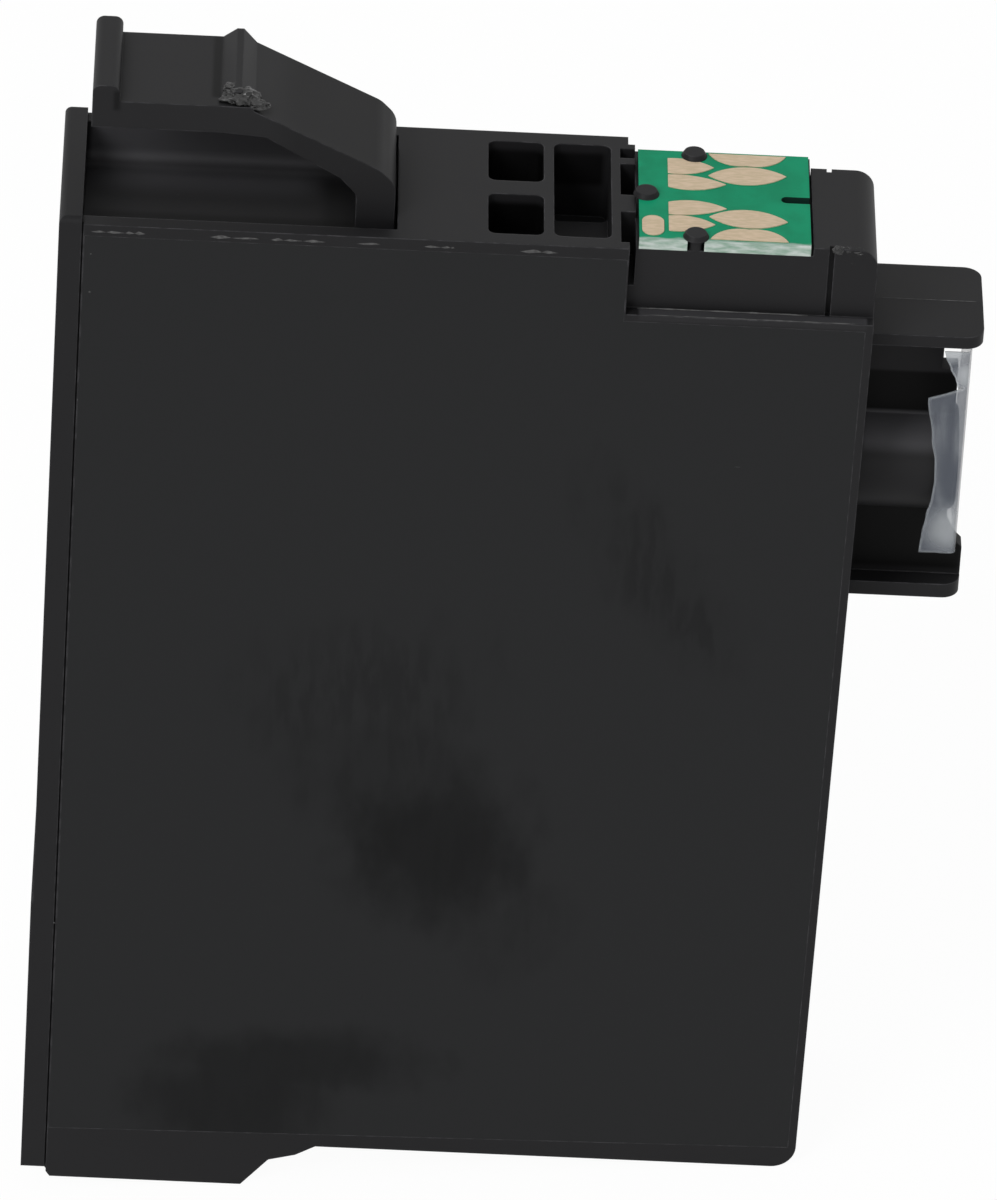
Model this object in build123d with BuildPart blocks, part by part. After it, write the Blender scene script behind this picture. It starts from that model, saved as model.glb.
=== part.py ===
from build123d import *
import math
import os

# Slim inkjet cartridge, standing on its back edge as in the photograph.
# X runs from the cartridge's own top end to its ink outlet, Y across its
# thickness, and Z up from the back edge to the front face with latch and chip.

# Overall sizes, in millimetres
case_length = 48.4
case_height = 66.0
thickness = 12.7
foot_drop = 3.1
front_guide_reach = 6.8
end_taper = 0.7
back_corner_radius = 1.5

# Walls, films and fits
near_wall = 1.1
back_wall = 1.2
outlet_wall = 1.4
rib = 0.8
film_thickness = 0.1
seam = 0.1
running_fit = 0.05
press_gap = 0.03

# Side cover: a plate on the far side with a flange over the top end
cover_plate = 1.0
cover_flange = 1.45
front_block = 5.5
flange_foot_drop = 2.4
flange_step = 0.1
flange_rise = 0.35
flange_round = 0.4
seam_depth = 0.3
flange_step_height = 17.0

# Foot under the back edge
foot_toe = 1.8
foot_toe_rise = 0.5
foot_sole_end = 13.6
foot_heel_rise = 1.95
foot_heel_length = 1.65
foot_length = 16.9
foot_tail_rise = 2.4
foot_tail_length = 1.2

# Front face: latch bay from the top end, pockets and slot back from the chip seat
bay_share = 0.41322
bay_depth = 2.7
bay_rim = 1.0
bay_corner = 1.0
pocket_lead = 8.75
pocket_length = 3.3
pocket_span = 4.5
pocket_gap = 1.5
pocket_depth = 5.0
pocket_radius = 0.5
long_pocket_lead = 4.85
long_pocket_length = 3.4
shelf_depth = 3.5
shelf_share = 7.4
slot_width = 0.9
slot_span = 10.6
slot_offset = -0.3
slot_depth = 3.0
slot_bridges = ((3.6, 0.65), (-1.2, 1.9))
seat_drop = 0.45
seat_width = 11.0
seat_height = 4.55
post_gap = 0.15
post_length = 3.85
post_rise = 0.1
post_far_inset = 1.95
post_round = 1.2
ledge_lead = 0.4
groove_lead = 0.95
groove_width = 0.3
groove_depth = 0.35

# Contact board, held by three heat-staked bosses
board_length = 10.15
board_width = 10.05
board_thickness = 0.75
board_overhang = 0.05
board_gap = 0.15
stake_radius = 0.45
head_radius = 0.78
head_height = 0.3
side_stake_inset = 0.45
row_stake_place = 3.35
row_stake_inset = 0.45
board_slot_length = 1.7
board_slot_width = 0.7
pad_thickness = 0.06
inner_pad = ((1.75, 0.95), (3.3, 1.08), (4.5, 1.8), (3.4, 2.5), (1.75, 2.6))
long_pad = ((1.75, 2.8), (3.7, 2.95), (5.2, 3.65), (3.7, 4.35), (1.75, 4.15))
lens_pad = ((4.15, 2.7), (6.35, 1.6), (8.8, 2.45), (6.6, 3.58), (4.15, 2.7))
edge_pad = ((4.2, 0.2), (4.9, 1.1), (6.5, 1.42), (8.1, 1.1), (8.8, 0.2))
test_pad_place = 0.82
test_pad_inset = 1.45
test_pad_length = 1.3
test_pad_width = 2.2
test_pad_radius = 0.64
chip_radius = 1.7
chip_height = 0.6

# Latch lever, up from the front face, its catch and arm back from the bay's end
lever_width = 8.0
lever_start = 1.75
lip_length = 1.6
lip_rise = 8.15
thumb_rise = 7.1
thumb_thickness = 1.8
catch_start_lead = 10.7
catch_peak_lead = 9.9
catch_end_lead = 8.7
catch_rise = 7.7
catch_flat = 0.4
arm_rise = 6.8
arm_end_lead = 1.2
arm_end_rise = 3.2
arm_nose_drop = 1.0
arm_thickness = 1.75
knee_run = 1.0
knee_rise = 1.1
plate_run = 0.7
plate_drop = 0.2
leg_length = 2.3
leg_gap = 0.2
leg_shoulder = 0.5
catch_inset = 0.7
lever_round = 0.5
arm_round = 1.5
knee_round = 0.8
root_thickness = 1.4
root_rise = 1.2
root_play = 0.7
root_clear = 0.2
pivot_radius = 1.1
pivot_lead = 1.35
pivot_depth = 4.1

# Ink outlet with its seal, valve and spring, down from the front face
port_drop = 17.4
port_radius = 3.25
port_reach = 5.95
port_chamfer = 0.25
port_bore = 2.4
port_inner = 7.7
port_floor = 1.0
port_feed = 0.8
seal_length = 2.4
seal_inset = 0.4
seal_hole = 1.15
valve_disc = 1.0
valve_stem_radius = 0.75
valve_stem = 2.2
flute_radius = 0.6
wire_radius = 0.18
outlet_coil_radius = 1.6
outlet_coils = 5
coil_runs = 12
screen_thickness = 0.25
screen_radius = 2.2

# Guide plates round the outlet, from the port's axis
guide_thickness = 0.95
guide_corner = 1.1
front_guide_rise = 10.9
front_guide_width = 7.7
guide_fall = 0.15
back_guide_drop = 8.1
back_guide_width = 3.7
back_guide_reach = 6.75
web = 1.2
front_web_reach = 4.7
front_web_nose = 0.95
front_web_nose_top = 6.5
back_web_drop = 5.8
back_web_corner = 0.4

# Peel film over the outlet
peel_inset = 0.15
peel_thickness = 0.2
peel_gap = 0.2
peel_drop = 4.5
peel_half_width = 3.9
peel_near = 3.75
peel_flap = 2.1
peel_flap_lean = 0.15
peel_round = 0.35
peel_flap_top = 7.2
peel_flap_slant = 0.8

# Pressure regulator, vent and ribs inside the tank
regulator_lead = 11.7
regulator_drop = 12.5
regulator_radius = 6.2
regulator_ledge = 1.0
regulator_ledge_height = 4.6
membrane_thickness = 0.5
membrane_bead = 0.9
regulator_cover_thickness = 1.4
regulator_hole = 0.6
regulator_coil_radius = 1.5
regulator_coils = 4
vent_place = 9.2
vent_drop = 10.5
vent_radius = 3.0
vent_ring_height = 3.0
divider_lead = 26.2
divider_gap = 8.3
shelf_drop = 7.1
passage = 2.0

# Fill port in the back wall, and vent port in the outlet wall
fill_place = 28.2
fill_radius = 1.5
fill_plug_lead = 0.4
fill_film_length = 8.0
fill_film_width = 6.0
vent_port_height = 20.0
vent_port_radius = 0.6
vent_film_size = 5.0

# Film bonded on the near broad side
side_film_top = 0.8
side_film_end = 0.5
side_film_foot = 0.6
side_film_step = 0.5

# Places worked out from the sizes
block_end = case_length - board_gap - board_length - post_gap - post_length
bay_length = bay_share * case_length
pocket_start = block_end - pocket_lead
long_pocket_start = block_end - long_pocket_lead
slot_start = block_end - slot_width
catch_start = bay_length - catch_start_lead
catch_peak = bay_length - catch_peak_lead
catch_end = bay_length - catch_end_lead
arm_end = bay_length - arm_end_lead
pivot_place = bay_length - pivot_lead
regulator_place = case_length - regulator_lead
divider_place = case_length - divider_lead
cover_height = case_height - front_block
port_height = case_height - port_drop
front_guide_height = port_height + front_guide_rise
back_guide_height = port_height - back_guide_drop
shelf_rib_height = port_height - shelf_drop
regulator_height = shelf_rib_height - regulator_drop
vent_height = cover_height - vent_drop
overall_length = case_length + front_guide_reach
overall_height = case_height + foot_drop
top_end = -overall_length / 2
outlet_end = top_end + case_length
back_edge = foot_drop
front_face = back_edge + case_height
near_side = -thickness / 2
far_side = thickness / 2
case_start = top_end + cover_flange
case_depth = thickness - cover_plate - film_thickness
chamber_top = back_edge + cover_height - back_wall
bay_end = top_end + bay_length
bay_floor = front_face - bay_depth
seat_top = front_face - seat_drop
seat_near = -seat_width / 2
board_start = top_end + block_end + board_gap
board_near = seat_near - board_overhang
board_top = seat_top + board_thickness
post_start = board_start + board_length + post_gap
post_top = front_face + post_rise
post_far = seat_width / 2 - post_far_inset
port_z = back_edge + port_height
port_end = outlet_end + port_reach
port_back = outlet_end - port_inner
seal_end = port_end - seal_inset
seal_start = seal_end - seal_length
pivot_x = top_end + pivot_place
pivot_z = front_face - pivot_depth
regulator_x = top_end + regulator_place
regulator_z = back_edge + regulator_height
regulator_rim = regulator_ledge_height + membrane_bead + regulator_cover_thickness
vent_x = top_end + vent_place
vent_z = back_edge + vent_height


# A plane parallel to the broad sides, at a depth from the near one, facing it
def side_plane(depth):
    return Plane.XZ.offset(-(near_side + depth))


# The run of the outlet end at a height above the back edge, with its taper
def outlet_edge(height):
    straight = min(height, cover_height) / cover_height
    return outlet_end - end_taper * (1 - straight)


# The closed outline of the tank below the front block, with foot and taper
def tank_outline(start, top, drop):
    sole = back_edge - drop
    toe = max(start, top_end + foot_toe)
    heel = top_end + foot_sole_end
    with BuildLine() as edge:
        Polyline(
            (start, back_edge + top),
            (start, sole + foot_toe_rise),
            (toe, sole),
            (heel, sole),
            (heel + foot_heel_length, sole + foot_heel_rise),
            (top_end + foot_length, sole + foot_tail_rise),
            (top_end + foot_length + foot_tail_length, back_edge),
            (outlet_edge(0) - back_corner_radius, back_edge),
        )
        TangentArc(
            (outlet_edge(0) - back_corner_radius, back_edge),
            (outlet_edge(back_corner_radius), back_edge + back_corner_radius),
            tangent=(1, 0),
        )
        Polyline(
            (outlet_edge(back_corner_radius), back_edge + back_corner_radius),
            (outlet_edge(top), back_edge + top),
            (start, back_edge + top),
        )
    return edge.line


# The outline of the film on the near broad side, stepped round the chip seat
def film_outline():
    step_x = top_end + block_end - side_film_step
    step_z = front_face - seat_height - side_film_step
    with BuildLine() as edge:
        Polyline(
            (case_start + 2 * seam, back_edge + side_film_foot),
            (outlet_edge(0) - side_film_end, back_edge + back_corner_radius),
            (outlet_edge(cover_height) - side_film_end, step_z),
            (step_x, step_z),
            (step_x, front_face - side_film_top),
            (case_start + 2 * seam, front_face - side_film_top),
            close=True,
        )
    return edge.line


# A coil spring along a plane's normal, in short straight runs of six-sided wire
def coil(plane, radius, length, turns):
    places = []
    for step in range(turns * coil_runs + 1):
        turned = 2 * math.pi * step / coil_runs
        along = length * step / (turns * coil_runs)
        local = Vector(radius * math.cos(turned), radius * math.sin(turned), along)
        places.append(plane.from_local_coords(local))
    with BuildPart() as spring:
        with BuildLine() as path:
            Polyline(*places)
        with BuildSketch(Plane(path.line @ 0, z_dir=path.line % 0)):
            RegularPolygon(radius=wire_radius, side_count=6)
        sweep(transition=Transition.RIGHT)
    return spring.part


os.makedirs("parts", exist_ok=True)


# Tank case: near wall, edge walls, front block, ribs, port and guides
ledge_depth = (thickness - seat_width) / 2
rib_bottom = near_wall
rib_height = case_depth - near_wall
chamber_start = case_start + back_wall
chamber_end = outlet_edge(cover_height) - outlet_wall

with BuildPart() as tank_case:
    with BuildSketch(side_plane(case_depth)):
        with BuildLine():
            add(tank_outline(case_start, cover_height, foot_drop))
        make_face()
    extrude(amount=case_depth)

    # Chamber, open to the far side
    with BuildSketch(side_plane(case_depth)):
        with BuildLine():
            Polyline(
                (chamber_start, back_edge + back_wall),
                (outlet_edge(0) - outlet_wall, back_edge + back_wall),
                (chamber_end, chamber_top),
                (chamber_start, chamber_top),
                close=True,
            )
        make_face()
    extrude(amount=rib_height, mode=Mode.SUBTRACT)
    chamber_corners = tank_case.edges(Select.LAST).filter_by(Axis.Y)
    fillet(chamber_corners, radius=rib)

    # Front block across the whole thickness
    with BuildSketch(Plane.XY.offset(back_edge + cover_height)):
        with Locations(((case_start + outlet_end) / 2, 0)):
            Rectangle(outlet_end - case_start, thickness)
    extrude(amount=case_height - cover_height)

    # Ledges beside the chip seat, and its lower top
    seat_length = case_length - block_end + ledge_lead
    for side in (-1, 1):
        with BuildSketch(Plane.XY.offset(front_face)):
            with Locations((outlet_end - seat_length / 2, side * (thickness - ledge_depth) / 2)):
                Rectangle(seat_length, ledge_depth)
        extrude(amount=-seat_height, mode=Mode.SUBTRACT)
    with BuildSketch(Plane.XY.offset(front_face)):
        with Locations((outlet_end - (case_length - block_end) / 2, 0)):
            Rectangle(case_length - block_end, seat_width)
    extrude(amount=-seat_drop, mode=Mode.SUBTRACT)

    # Post at the outlet end of the seat, narrower on the far side
    with BuildSketch(Plane.XY.offset(front_face)):
        with Locations((outlet_end - post_length / 2, (post_far + far_side) / 2)):
            Rectangle(post_length, far_side - post_far)
    extrude(amount=-seat_height, mode=Mode.SUBTRACT)
    with BuildSketch(Plane.XY.offset(seat_top)):
        with Locations((outlet_end - post_length / 2, (post_far + seat_near) / 2)):
            Rectangle(post_length, post_far - seat_near)
    extrude(amount=post_top - seat_top)
    post_edge = tank_case.edges().filter_by(Axis.Y).sort_by_distance((outlet_end, 0, post_top))[0]
    fillet(post_edge, radius=post_round)

    # Grooves down both sides of the post
    with BuildSketch(Plane.XY.offset(post_top)):
        for side in (seat_near, post_far):
            with Locations((post_start + groove_lead + groove_width / 2, side)):
                Rectangle(groove_width, 2 * groove_depth)
    extrude(amount=-(seat_height + post_rise), mode=Mode.SUBTRACT)

    # Latch bay with rounded floor corners
    bay_width = thickness - 2 * bay_rim
    with BuildSketch(Plane.YZ.offset(case_start)):
        with BuildLine():
            Polyline(
                (-bay_width / 2, bay_floor + bay_corner),
                (-bay_width / 2, front_face),
                (bay_width / 2, front_face),
                (bay_width / 2, bay_floor + bay_corner),
            )
            RadiusArc(
                (bay_width / 2, bay_floor + bay_corner),
                (bay_width / 2 - bay_corner, bay_floor),
                bay_corner,
            )
            Line((bay_width / 2 - bay_corner, bay_floor), (-bay_width / 2 + bay_corner, bay_floor))
            RadiusArc(
                (-bay_width / 2 + bay_corner, bay_floor),
                (-bay_width / 2, bay_floor + bay_corner),
                bay_corner,
            )
        make_face()
    extrude(amount=bay_end - case_start, mode=Mode.SUBTRACT)

    # Socket for the lever's pivot, open upwards through a slot
    with BuildSketch(Plane.XZ):
        with Locations((pivot_x, pivot_z)):
            Circle(pivot_radius + running_fit)
        with Locations((pivot_x, (pivot_z + bay_floor) / 2)):
            Rectangle(root_thickness + root_play, bay_floor - pivot_z + root_clear)
    extrude(amount=(lever_width + 2 * leg_gap) / 2, both=True, mode=Mode.SUBTRACT)

    # Cored pockets: a pair side by side, then a long one with a shelf
    with BuildSketch(Plane.XY.offset(front_face)):
        for side in (-1, 1):
            middle = side * (pocket_gap + pocket_span) / 2
            with Locations((top_end + pocket_start + pocket_length / 2, middle)):
                RectangleRounded(pocket_length, pocket_span, pocket_radius)
    extrude(amount=-pocket_depth, mode=Mode.SUBTRACT)
    long_span = pocket_gap + 2 * pocket_span
    long_middle = top_end + long_pocket_start + long_pocket_length / 2
    with BuildSketch(Plane.XY.offset(front_face)):
        with Locations((long_middle, 0)):
            RectangleRounded(long_pocket_length, long_span, pocket_radius)
    extrude(amount=-shelf_depth, mode=Mode.SUBTRACT)
    with BuildSketch(Plane.XY.offset(front_face)):
        with Locations((long_middle, shelf_share / 2)):
            RectangleRounded(long_pocket_length, long_span - shelf_share, pocket_radius)
    extrude(amount=-pocket_depth, mode=Mode.SUBTRACT)

    # Slot between block and seat, left bridged by two small ribs
    with BuildSketch(Plane.XY.offset(front_face)):
        with Locations((top_end + (slot_start + block_end) / 2, slot_offset)):
            Rectangle(block_end - slot_start, slot_span)
        for middle, span in slot_bridges:
            with Locations((top_end + (slot_start + block_end) / 2, middle)):
                Rectangle(block_end - slot_start, span, mode=Mode.SUBTRACT)
    extrude(amount=-slot_depth, mode=Mode.SUBTRACT)

    # Well under the board for its memory chip
    board_middle = board_start + board_length / 2
    board_centre = board_near + board_width / 2
    with BuildSketch(Plane.XY.offset(seat_top)):
        with Locations((board_middle, board_centre)):
            Circle(chip_radius + 4 * running_fit)
    extrude(amount=-(chip_height + 4 * running_fit), mode=Mode.SUBTRACT)

    # Heat-staked bosses: stems up through the board, heads on top of it
    stakes = (
        (board_start + side_stake_inset, board_centre),
        (board_start + row_stake_place, board_near + row_stake_inset),
        (board_start + row_stake_place, board_near + board_width - row_stake_inset),
    )
    with BuildSketch(Plane.XY.offset(seat_top)):
        with Locations(*stakes):
            Circle(stake_radius)
    extrude(amount=board_thickness)
    with BuildSketch(Plane.XY.offset(board_top)):
        with Locations(*stakes):
            Circle(head_radius)
    extrude(amount=head_height, taper=30)

    # Ribs that divide the tank, up to the welded film
    divider_x = top_end + divider_place
    with BuildSketch(side_plane(rib_bottom)):
        with Locations((divider_x, (back_edge + back_wall / 2 + chamber_top - divider_gap) / 2)):
            Rectangle(rib, chamber_top - divider_gap - back_edge - back_wall / 2)
        with Locations(((divider_x + chamber_end) / 2, back_edge + shelf_rib_height)):
            Rectangle(chamber_end - divider_x, rib)
        with Locations(((divider_x + regulator_x) / 2, regulator_z)):
            Rectangle(regulator_x - divider_x - regulator_radius, rib)
        with Locations(((regulator_x + chamber_end + regulator_radius) / 2, regulator_z)):
            Rectangle(chamber_end - regulator_x - regulator_radius, rib)
        vent_rib = vent_x - vent_radius - 3 * rib / 4 - chamber_start
        with Locations((chamber_start + vent_rib / 2, vent_z)):
            Rectangle(vent_rib, rib)
    extrude(amount=-rib_height)

    # Round wells of the regulator and the vent
    with BuildSketch(side_plane(rib_bottom)):
        with Locations((regulator_x, regulator_z)):
            Circle(regulator_radius + rib)
    extrude(amount=-regulator_rim)
    with BuildSketch(side_plane(rib_bottom + regulator_ledge_height)):
        with Locations((regulator_x, regulator_z)):
            Circle(regulator_radius)
    extrude(amount=-(regulator_rim - regulator_ledge_height), mode=Mode.SUBTRACT)
    with BuildSketch(side_plane(rib_bottom)):
        with Locations((regulator_x, regulator_z)):
            Circle(regulator_radius - regulator_ledge)
    extrude(amount=-regulator_rim, mode=Mode.SUBTRACT)
    with BuildSketch(side_plane(rib_bottom)):
        with Locations((vent_x, vent_z)):
            Circle(vent_radius + rib)
    extrude(amount=-vent_ring_height)
    with BuildSketch(side_plane(rib_bottom)):
        with Locations((vent_x, vent_z)):
            Circle(vent_radius)
    extrude(amount=-vent_ring_height, mode=Mode.SUBTRACT)

    # Passages through the ribs, beside the near wall
    passages = (
        (divider_x, back_edge + back_wall + passage),
        (divider_x, back_edge + shelf_rib_height + 2 * passage),
        ((divider_x + regulator_x) / 2 - passage, regulator_z),
        (chamber_end - passage, back_edge + shelf_rib_height),
    )
    with BuildSketch(side_plane(rib_bottom)):
        with Locations(*passages):
            Rectangle(passage, passage)
    extrude(amount=-passage, mode=Mode.SUBTRACT)

    # Outlet port: a tube through the outlet wall, floored inside the tank
    with BuildSketch(Plane.YZ.offset(port_back)):
        with Locations((0, port_z)):
            Circle(port_radius)
    extrude(amount=port_end - port_back)
    port_lip = tank_case.edges().filter_by(GeomType.CIRCLE).sort_by(Axis.X)[-1]
    chamfer(port_lip, length=port_chamfer)

    # Front and back guide plates
    for height, width, reach in (
        (front_guide_height, front_guide_width, front_guide_reach),
        (back_guide_height, back_guide_width, back_guide_reach),
    ):
        guide_end = outlet_end + reach
        guide_start = outlet_edge(height) - outlet_wall / 2
        with BuildSketch(Plane.XY.offset(back_edge + height)):
            with BuildLine():
                FilletPolyline(
                    (guide_start, -width / 2),
                    (guide_end, -width / 2),
                    (guide_end, width / 2),
                    (guide_start, width / 2),
                    radius=min(guide_corner, width / 3),
                )
                Line((guide_start, width / 2), (guide_start, -width / 2))
            make_face()
        extrude(amount=-guide_thickness)

    # The near half of the front guide falls a little from its middle line
    guide_top = back_edge + front_guide_height
    with BuildSketch(Plane.YZ.offset(outlet_end)):
        with BuildLine():
            Polyline(
                (0, guide_top),
                (-front_guide_width / 2, guide_top),
                (-front_guide_width / 2, guide_top - guide_fall),
                close=True,
            )
        make_face()
    extrude(amount=front_guide_reach, mode=Mode.SUBTRACT)

    # Webs that tie the guides to the port, just short of its rim
    web_start = outlet_edge(back_guide_height) - outlet_wall / 2
    web_end = outlet_end + front_web_reach
    web_rim = port_end - port_chamfer
    front_middle = back_edge + front_guide_height - guide_thickness / 2
    back_middle = back_edge + back_guide_height - guide_thickness / 2
    with BuildSketch(Plane.XZ):
        with BuildLine():
            Polyline(
                (web_start, port_z),
                (web_start, front_middle),
                (web_end, front_middle),
                (web_end, port_z + front_web_nose_top),
                (web_end + front_web_nose, port_z + front_web_nose_top),
                (web_end + front_web_nose, port_z),
                close=True,
            )
        make_face()
        with BuildLine():
            Polyline(
                (web_start, port_z),
                (web_rim, port_z),
                (web_rim, port_z - peel_drop - seam),
                (outlet_end + back_guide_reach - back_web_corner, port_z - back_web_drop),
                (outlet_end + back_guide_reach, port_z - back_web_drop - back_web_corner),
                (outlet_end + back_guide_reach, back_middle),
                (web_start, back_middle),
                close=True,
            )
        make_face()
    extrude(amount=web / 2, both=True)

    # Bore of the port, and the feed hole through its floor
    with BuildSketch(Plane.YZ.offset(port_end)):
        with Locations((0, port_z)):
            Circle(port_bore)
    extrude(amount=-(port_end - port_back - port_floor), mode=Mode.SUBTRACT)
    with BuildSketch(Plane.YZ.offset(port_back)):
        with Locations((0, port_z)):
            Circle(port_feed)
    extrude(amount=port_floor, mode=Mode.SUBTRACT)

    # Fill hole in the back wall, and vent hole in the outlet wall
    with BuildSketch(Plane.XY.offset(back_edge)):
        with Locations((top_end + fill_place, 0)):
            Circle(fill_radius)
    extrude(amount=back_wall, mode=Mode.SUBTRACT)
    with BuildSketch(Plane.YZ.offset(outlet_end)):
        with Locations((0, back_edge + vent_port_height)):
            Circle(vent_port_radius)
    extrude(amount=-(outlet_wall + end_taper), mode=Mode.SUBTRACT)

    # Groove of the seam beside the cover's flange
    with BuildSketch(side_plane(seam_depth)):
        with Locations((case_start + seam / 2, front_face - overall_height / 2)):
            Rectangle(seam, overall_height)
    extrude(amount=seam_depth, mode=Mode.SUBTRACT)

    # Shallow recess for the film on the near side
    with BuildSketch(side_plane(film_thickness)):
        with BuildLine():
            add(film_outline())
        make_face()
    extrude(amount=film_thickness, mode=Mode.SUBTRACT)

tank_case.part.label = "tank_case"
export_step(tank_case.part, "parts/tank_case.step")

# Side cover: far plate and the flange over the top end, one moulding
with BuildPart() as side_cover:
    with BuildSketch(side_plane(thickness)):
        with BuildLine():
            add(tank_outline(top_end, cover_height, foot_drop))
        make_face()
    extrude(amount=cover_plate)
    flange_top = front_face + flange_rise
    flange_height = case_height + flange_foot_drop + flange_rise
    with BuildSketch(Plane.YZ.offset(top_end)):
        with Locations((0, flange_top - flange_height / 2)):
            Rectangle(thickness, flange_height)
    extrude(amount=cover_flange)
    step_height = case_height - flange_step_height
    with BuildSketch(Plane.YZ.offset(top_end)):
        with Locations((0, flange_top - step_height / 2)):
            Rectangle(thickness, step_height)
    extrude(amount=flange_step, mode=Mode.SUBTRACT)
    corner = side_cover.edges().filter_by(Axis.Y).sort_by_distance((top_end, 0, flange_top))[0]
    near_corner = side_cover.edges().filter_by(Axis.X).sort_by_distance((top_end, near_side, flange_top))[0]
    fillet((corner, near_corner), radius=flange_round)

side_cover.part.label = "side_cover"
export_step(side_cover.part, "parts/side_cover.step")

# Film welded over the open side of the tank
with BuildPart() as chamber_film:
    with BuildSketch(side_plane(case_depth)):
        with BuildLine():
            Polyline(
                (chamber_start, back_edge + back_wall),
                (outlet_edge(0) - outlet_wall, back_edge + back_wall),
                (chamber_end, chamber_top),
                (chamber_start, chamber_top),
                close=True,
            )
        make_face()
        offset(amount=rib, kind=Kind.INTERSECTION)
    extrude(amount=-film_thickness)

chamber_film.part.label = "chamber_film"
export_step(chamber_film.part, "parts/chamber_film.step")

# Film bonded on the near broad side
with BuildPart() as side_film:
    with BuildSketch(side_plane(film_thickness)):
        with BuildLine():
            add(film_outline())
        make_face()
    extrude(amount=film_thickness)

side_film.part.label = "side_film"
export_step(side_film.part, "parts/side_film.step")

# Latch lever: thumb plate with lip, catch, sloping arm, leg and pivot
lever_end = bay_end - leg_gap
leg_start = lever_end - leg_length
lever_x = top_end + lever_start
root_top = bay_floor + root_rise
root_far = pivot_x + root_thickness / 2
thumb_underside = front_face + thumb_rise - thumb_thickness
with BuildPart() as latch_lever:
    with BuildSketch(Plane.XZ):
        with BuildLine():
            Polyline(
                (lever_x, thumb_underside),
                (lever_x, front_face + lip_rise),
                (lever_x + lip_length, front_face + lip_rise),
                (lever_x + lip_length, front_face + thumb_rise),
                (top_end + catch_start, front_face + thumb_rise),
                (top_end + catch_peak, front_face + catch_rise),
                (top_end + catch_peak + catch_flat, front_face + catch_rise),
                (top_end + catch_end, front_face + arm_rise),
                (top_end + arm_end, front_face + arm_end_rise),
                (lever_end, front_face + arm_end_rise - arm_nose_drop),
                (lever_end, root_top),
                (root_far, root_top - (lever_end - root_far)),
                (root_far, pivot_z),
                (pivot_x - root_thickness / 2, pivot_z),
                (pivot_x - root_thickness / 2, root_top),
                (leg_start, root_top + leg_shoulder),
                (leg_start, front_face + arm_end_rise - arm_thickness),
                (leg_start - knee_run, front_face + arm_end_rise - arm_thickness + knee_rise),
                (top_end + catch_end + plate_run, thumb_underside - plate_drop),
                (top_end + catch_start, thumb_underside),
                close=True,
            )
        make_face()
        with Locations((pivot_x, pivot_z)):
            Circle(pivot_radius)
    extrude(amount=lever_width / 2, both=True)
    for x, z, radius in (
        (top_end + arm_end, arm_end_rise, arm_round),
        (lever_end, arm_end_rise - arm_nose_drop, arm_round),
        (lever_x, lip_rise, lever_round),
        (lever_x + lip_length, lip_rise, lever_round),
        (leg_start, arm_end_rise - arm_thickness, knee_round),
    ):
        place = (x, 0, front_face + z)
        edge = latch_lever.edges().filter_by(Axis.Y).sort_by_distance(place)[0]
        fillet(edge, radius=radius)
    # The catch stops short of the near edge
    with BuildSketch(Plane.XY.offset(front_face + thumb_rise)):
        with Locations((top_end + (catch_start + catch_end) / 2, (catch_inset - lever_width) / 2)):
            Rectangle(catch_end - catch_start, catch_inset)
    extrude(amount=thumb_thickness, mode=Mode.SUBTRACT)

latch_lever.part.label = "latch_lever"
export_step(latch_lever.part, "parts/latch_lever.step")

# Contact board, notched for the three bosses and slotted at its far end
board_far = board_near + board_width
with BuildPart() as chip_board:
    with BuildSketch(Plane.XY.offset(seat_top)):
        with Locations((board_middle, board_centre)):
            Rectangle(board_length, board_width)
        notch = 2 * (stake_radius + running_fit)
        for x, y in stakes[1:]:
            outward = board_far if y > board_centre else board_near
            with Locations((x, (y + outward) / 2)):
                Rectangle(notch, abs(outward - y), mode=Mode.SUBTRACT)
        with Locations(*stakes):
            Circle(notch / 2, mode=Mode.SUBTRACT)
        with Locations((board_start + side_stake_inset / 2, board_centre)):
            Rectangle(side_stake_inset, notch, mode=Mode.SUBTRACT)
        with Locations((board_start + board_length, board_centre)):
            SlotOverall(2 * board_slot_length, board_slot_width, mode=Mode.SUBTRACT)
    extrude(amount=board_thickness)

chip_board.part.label = "chip_board"
export_step(chip_board.part, "parts/chip_board.step")


# A pad's outline: two arcs that meet in a tip, from places along and in from one edge
def pad_outline(points, mirrored):
    places = []
    for along, inward in points:
        y = board_near + inward if mirrored else board_far - inward
        places.append((board_start + along, y))
    with BuildLine() as edge:
        ThreePointArc(*places[:3])
        ThreePointArc(*places[2:])
        if places[0] != places[-1]:
            Line(places[-1], places[0])
    return edge.line


# Nine pads: two interlocking rows, mirrored about the board's middle
with BuildPart() as contact_pads:
    with BuildSketch(Plane.XY.offset(board_top)):
        for mirrored in (False, True):
            for points in (inner_pad, long_pad, lens_pad, edge_pad):
                with BuildLine():
                    add(pad_outline(points, mirrored))
                make_face()
        with Locations((board_start + test_pad_place, board_near + test_pad_inset)):
            RectangleRounded(test_pad_length, test_pad_width, test_pad_radius)
    extrude(amount=pad_thickness)
    with BuildSketch(Plane.XY.offset(board_top)):
        with Locations(*stakes):
            Circle(head_radius + running_fit)
    extrude(amount=pad_thickness, mode=Mode.SUBTRACT)

contact_pads.part.label = "contact_pads"
export_step(contact_pads.part, "parts/contact_pads.step")

# Memory chip: a resin dome under the board
with BuildPart() as memory_chip:
    with BuildSketch(Plane.XY.offset(seat_top)):
        with Locations((board_middle, board_centre)):
            Circle(chip_radius)
    extrude(amount=-chip_height, taper=25)
    fillet(memory_chip.edges().sort_by(Axis.Z)[0], radius=chip_height / 3)

memory_chip.part.label = "memory_chip"
export_step(memory_chip.part, "parts/memory_chip.step")

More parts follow.
